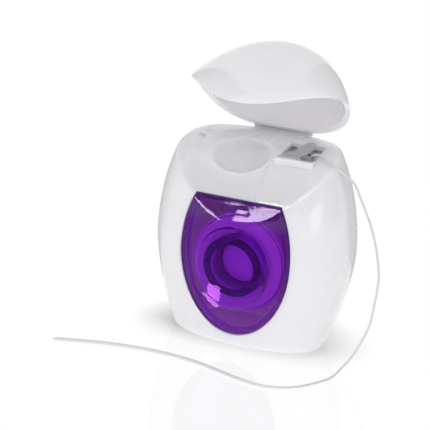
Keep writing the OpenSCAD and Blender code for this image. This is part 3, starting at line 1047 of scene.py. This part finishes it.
class DISPENSER_OT_spool(bpy.types.Operator):
    """Models the wound floss on its core and the run up to the exit"""

    bl_idname = "dispenser.spool"
    bl_label = "Spool and wound floss"

    def layers_profile(self, sizes):
        """Section of the inner layers, with the strands' ridges on the front end and round the outside."""
        front, rear = sizes.front + 0.1 * MM, sizes.front + sizes.width - 0.1 * MM
        low, high = sizes.core_radius + 0.02 * MM, sizes.pack_radius
        edge, rows, ridges = 0.15 * MM, 8 * 4, 26 * 4
        profile = [(low, front + 0.2 * MM)]
        for k in range(rows + 1):
            wave = abs(math.cos(math.pi * k / 4))
            profile.append((low + (high - edge - low) * k / rows, front + 0.1 * MM * wave))
        for k in range(ridges + 1):
            wave = abs(math.cos(math.pi * k / 4))
            profile.append((high - 0.09 * MM * wave, front + edge + (rear - front - 2 * edge) * k / ridges))
        return profile + [(high - edge, rear), (low, rear)]

    def turns_path(self, sizes):
        """Middle line of the outer layer, one strand wound from front to rear."""
        radius, steps, margin = sizes.turns_radius, 72, 0.7 * MM
        pitch = (sizes.width - 2 * margin) / sizes.turns
        path = []
        for k in range(sizes.turns * steps + 1):
            a, y = 2 * math.pi * k / steps, sizes.front + margin + pitch * k / steps
            path.append(Vector((radius * math.cos(a), y, sizes.axis_height + radius * math.sin(a))))
        return path

    def execute(self, context):
        sizes, colours = context.scene.floss_spool, context.scene.floss_colours
        # the lighter colour of the wound floss is painted light for the dim inside behind the window
        wound = waxed_floss("Floss, wound", colours.wound)
        layers = lathe("floss_layers", self.layers_profile(sizes), sizes.axis_height, 96)
        shade(layers, wound, 60)
        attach(layers, "spool")
        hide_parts("floss_pack")
        strand = ribbon(self.turns_path(sizes), front_to_rear, sizes.strand, sizes.strand, 8)
        turns = skin_piece("floss_turns", strand)
        shade(turns, wound, 60)
        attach(turns, "spool")
        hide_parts("floss_winding")
        run = spline(in_metres(FLOSS_RUN), 0.8 * MM)
        piece = skin_piece("floss_run", ribbon(run, front_to_rear, 0.7 * MM, 0.4 * MM))
        shade(piece, wound, 60)
        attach(piece, "case")
        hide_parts("floss_lead")
        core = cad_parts["spool_core"]
        core.data.materials.clear()
        core.data.materials.append(moulded_white("Core, moulded white", colours.core, 0.35))
        return {"FINISHED"}


# --- stage ---------------------------------------------------------------------------------------

# bright panes: name, corners in millimetres (low left, low right, high left, high right), slats, strength
PANES = (
    ("side_window", ((183, -258, -3), (242, -208, -2), (203, -246, 47), (276, -152, 69)), 9, 2.4),
    ("side_bar", ((246, -204, -2), (252, -199, -2), (283, -146, 60), (287, -144, 64)), 1, 2.4),
    ("front_window", ((-183, -436, 150), (-130, -436, 150), (-186, -436, 290), (-130, -436, 290)), 22, 16.0),
    ("front_slit", ((-202, -436, 247), (-196, -436, 247), (-202, -436, 274), (-196, -436, 274)), 4, 12.0),
    ("front_strip", ((-290, -345, 60), (-204, -440, 60), (-290, -345, 160), (-204, -440, 160)), 1, 14.0),
    ("low_glint", ((-14.7, -22.4, 4.5), (-9.4, -23.9, 3.9), (-13.9, -24.1, 10), (-9.3, -25.6, 9.2)), 6, 16.0),
    (
        "low_glint_foot",
        ((-12.9, -22.4, 2.1), (-10.3, -23.1, 2.1), (-17.4, -21.7, 5.6), (-13.9, -23.2, 5.1)),
        4,
        16.0,
    ),
)
# cards: name, near and far foot and height in millimetres, grey
CARDS = (
    ("dark_card_front", (-900, -900), (900, -900), 2000, 0.02),
    ("dark_card_left", (-900, 300), (-900, -900), 2000, 0.02),
    ("dark_card_right", (900, 300), (900, -900), 2000, 0.02),
    ("rim_card_left", (-38, 21), (-180, -11), 160, 0.45),
    ("rim_card_right", (12, 42), (133, 122), 160, 0.5),
)
# strength of the surroundings as light, and how much it gains towards the right, the rear and the top
SKY_LEVEL = 0.33
SKY_GAINS = {"Y": -0.27, "Z": 0.36, "X": 0.10}


class DISPENSER_OT_stage(bpy.types.Operator):
    """Sets the white floor, the plain studio light and the white surroundings"""

    bl_idname = "dispenser.stage"
    bl_label = "Stage"

    def execute(self, context):
        scene = context.scene
        scene.view_settings.view_transform = "Standard"
        bm = bmesh.new()
        bmesh.ops.create_grid(bm, x_segments=1, y_segments=1, size=3.0)
        bmesh.ops.translate(bm, verts=bm.verts, vec=(0, 0, -0.05 * MM))
        floor = make_piece("floor", bm)
        floor.data.materials.append(self.floor_material())
        self.world(scene)
        self.softbox("key", place=(0.12, -0.62, 0.52), aim=(0, 0, 0.03), size=0.5, power=1.45)
        for name, corners, slats, strength in PANES:
            self.pane(name, in_metres(corners), slats, strength)
        for name, near, far, height, grey in CARDS:
            corners = in_metres([(*near, 0), (*far, 0), (*near, height), (*far, height)])
            self.reflected(name, self.sheet(corners, 1), "Card, grey", grey, one_sided=False)
        return {"FINISHED"}

    def sheet(self, corners, rows):
        """A flat sheet between four corners, in so many rows."""
        low_left, low_right, high_left, high_right = corners
        bm = bmesh.new()
        made = bmesh.ops.create_grid(bm, x_segments=1, y_segments=rows, size=0.5)["verts"]
        for vert in made:
            u, v = vert.co.x + 0.5, vert.co.y + 0.5
            low, high = low_left * (1 - u) + low_right * u, high_left * (1 - u) + high_right * u
            vert.co = low * (1 - v) + high * v
        return bm

    def pane(self, name, corners, slats, strength):
        """A bright window pane, in slats, that faces the object and only shows as a highlight."""
        bm = self.sheet(corners, slats)
        if slats > 1:
            wide, slat = (corners[1] - corners[0]).length, (corners[2] - corners[0]).length / slats
            bmesh.ops.inset_individual(bm, faces=bm.faces[:], thickness=0.14 * slat)
            frames = [
                face
                for face in bm.faces
                if any(edge.is_boundary for edge in face.edges) or face.calc_area() < 0.35 * wide * slat
            ]
            bmesh.ops.delete(bm, geom=frames, context="FACES")
        bm.faces.ensure_lookup_table()
        first, middle = bm.faces[0], Vector((0, -13 * MM, 25 * MM))
        if first.normal.dot(first.calc_center_median() - middle) > 0:
            bmesh.ops.reverse_faces(bm, faces=bm.faces[:])
        self.reflected(name, bm, f"Pane, {name}", strength, one_sided=True)

    def reflected(self, name, bm, material_name, strength, one_sided):
        """A glowing stage piece that only shows where the object mirrors it."""
        piece = make_piece(name, bm)
        material = bpy.data.materials.new(material_name)
        tree = bare_tree(material)
        hidden = self.from_floor(tree)
        if one_sided:
            depth = add(tree, "ShaderNodeLightPath").outputs["Diffuse Depth"]
            behind = add(tree, "ShaderNodeNewGeometry").outputs["Backfacing"]
            hidden = calc(tree, "MAXIMUM", calc(tree, "MAXIMUM", depth, behind), hidden, clamp=True)
        glow = add(tree, "ShaderNodeEmission", Strength=strength)
        shown = mix(tree, hidden, glow, add(tree, "ShaderNodeBsdfTransparent"))
        add(tree, "ShaderNodeOutputMaterial", Surface=shown.outputs[0])
        piece.data.materials.append(material)
        for way in ("camera", "diffuse", "transmission", "shadow"):
            setattr(piece, f"visible_{way}", False)

    def from_floor(self, tree):
        """One for a ray that starts on the floor, so that the floor doesn't mirror the cards and panes."""
        surface = add(tree, "ShaderNodeNewGeometry").outputs
        way = add(tree, "ShaderNodeLightPath").outputs["Ray Length"]
        terms = surface["Incoming"], way, surface["Position"]
        start = add(tree, "ShaderNodeVectorMath", *terms, operation="MULTIPLY_ADD")
        height = add(tree, "ShaderNodeSeparateXYZ", start.outputs["Vector"]).outputs["Z"]
        return calc(tree, "LESS_THAN", height, 0.2 * MM)

    def softbox(self, name, place, aim, size, power):
        data = bpy.data.lights.new(name, "AREA")
        data.shape = "RECTANGLE"
        data.size = data.size_y = size
        data.energy = power
        lamp = bpy.data.objects.new(name, data)
        bpy.context.scene.collection.objects.link(lamp)
        lamp.location = place
        lamp.rotation_euler = (Vector(aim) - Vector(place)).to_track_quat("-Z", "Y").to_euler()

    def seen(self, tree):
        """One where a camera, glossy or transmission ray looks at the surroundings."""
        rays = add(tree, "ShaderNodeLightPath").outputs
        either = calc(tree, "MAXIMUM", rays["Is Camera Ray"], rays["Is Glossy Ray"])
        return calc(tree, "MAXIMUM", either, rays["Is Transmission Ray"])

    def world(self, scene):
        """Surroundings that light the object a little unevenly and look plain white."""
        scene.world = bpy.data.worlds.new("surroundings")
        tree = bare_tree(scene.world)
        way, level = axes(tree, "Generated"), SKY_LEVEL
        for axis, gain in SKY_GAINS.items():
            level = calc(tree, "MULTIPLY_ADD", way[axis], gain, level)
        light = add(tree, "ShaderNodeBackground", Color=(1.0, 0.985, 1.0, 1.0), Strength=level)
        white = add(tree, "ShaderNodeBackground", Color=(1, 1, 1, 1), Strength=1.0)
        shown = mix(tree, self.seen(tree), light, white)
        add(tree, "ShaderNodeOutputWorld", Surface=shown.outputs[0])

    def floor_material(self):
        """Matt white as a surface that lights; to the eye white with a soft shadow and a faint reflection."""
        material = bpy.data.materials.new("Floor, white")
        tree = bare_tree(material)
        matt = add(tree, "ShaderNodeBsdfDiffuse", Color=(0.92, 0.92, 0.92, 1.0))
        fill = add(tree, "ShaderNodeEmission", Strength=0.45)
        lifted = add(tree, "ShaderNodeAddShader", matt.outputs[0], fill.outputs[0])
        open_sky = add(tree, "ShaderNodeAmbientOcclusion", Distance=16 * MM).outputs["AO"]
        place = axes(tree, "Object")
        # the shadow is weak in front of the object and weaker on its right
        behind = remap(tree, place["Y"], -14 * MM, 0.0, 0.12, 1.0)
        beside = remap(tree, place["X"], -18 * MM, 24 * MM, 1.0, 0.55)
        shadow = remap(tree, open_sky, 0.45, 0.9, 0.62, 0.0)
        loss = calc(tree, "MULTIPLY", shadow, calc(tree, "MULTIPLY", behind, beside))
        white = add(tree, "ShaderNodeEmission", Strength=calc(tree, "SUBTRACT", 1.03, loss))
        shown = mix(tree, 0.1, white, add(tree, "ShaderNodeBsdfGlossy", Roughness=0.06))
        either = mix(tree, self.seen(tree), lifted, shown)
        add(tree, "ShaderNodeOutputMaterial", Surface=either.outputs[0])
        return material


PIECES = (
    DISPENSER_OT_camera,
    DISPENSER_OT_floss_end,
    DISPENSER_OT_case,
    DISPENSER_OT_window,
    DISPENSER_OT_cap,
    DISPENSER_OT_hinge_web,
    DISPENSER_OT_clip,
    DISPENSER_OT_spool,
    DISPENSER_OT_stage,
)
GROUPS = {
    "floss_case": CaseSizes,
    "floss_window": WindowSizes,
    "floss_cap": CapSizes,
    "floss_spool": SpoolSizes,
    "floss_floss": FlossSizes,
    "floss_clip": ClipSizes,
    "floss_colours": FinishColours,
}


class DISPENSER_PT_pieces(bpy.types.Panel):
    """Lists the pieces of the dispenser in the order in which they are made"""

    bl_idname = "DISPENSER_PT_pieces"
    bl_label = "Floss dispenser"
    bl_space_type = "VIEW_3D"
    bl_region_type = "UI"
    bl_category = "Dispenser"

    def draw(self, context):
        for piece in PIECES:
            self.layout.operator(piece.bl_idname)
        for name in GROUPS:
            box = self.layout.box()
            for field in GROUPS[name].__annotations__:
                box.prop(getattr(context.scene, name), field)


def register():
    for group in GROUPS.values():
        bpy.utils.register_class(group)
    for piece in PIECES + (DISPENSER_PT_pieces,):
        bpy.utils.register_class(piece)
    for name, group in GROUPS.items():
        setattr(bpy.types.Scene, name, PointerProperty(type=group))


def unregister():
    for name in GROUPS:
        delattr(bpy.types.Scene, name)
    for piece in PIECES + (DISPENSER_PT_pieces,):
        bpy.utils.unregister_class(piece)
    for group in GROUPS.values():
        bpy.utils.unregister_class(group)


def main():
    register()
    for piece in PIECES:
        getattr(bpy.ops.dispenser, piece.bl_idname.split(".")[1])()


if __name__ == "__main__":
    main()
